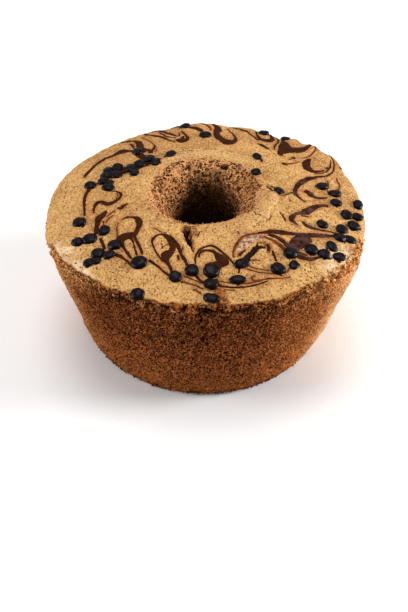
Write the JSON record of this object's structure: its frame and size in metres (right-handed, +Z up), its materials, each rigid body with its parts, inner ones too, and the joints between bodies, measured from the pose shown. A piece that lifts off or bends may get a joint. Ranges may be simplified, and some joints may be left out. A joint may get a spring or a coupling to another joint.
{
  "type": "chocolate chip chiffon cake",
  "caption": "Tall round chiffon cake with a hole through the middle, tapering to a flat base, its golden top marbled with chocolate and dotted with chocolate chips.",
  "frame": {"origin": "centre of the flat underside, level with the surface that the cake stands on, on the axis of its hole", "axes": "+Z up along the hole, -Y towards the front that the picture shows, +X to the right seen from the front"},
  "size_m": [0.1996, 0.1981, 0.0993],
  "materials": {
    "baked_skin": "matt golden baked skin, faintly sticky",
    "brown_crumb": "rough open brown crumb of the side, the underside and the hole",
    "chocolate": "satin dark chocolate of the chips and the marbling"
  },
  "bodies": {
    "root": {"cake": "baked_skin"}
  },
  "joints": []
}
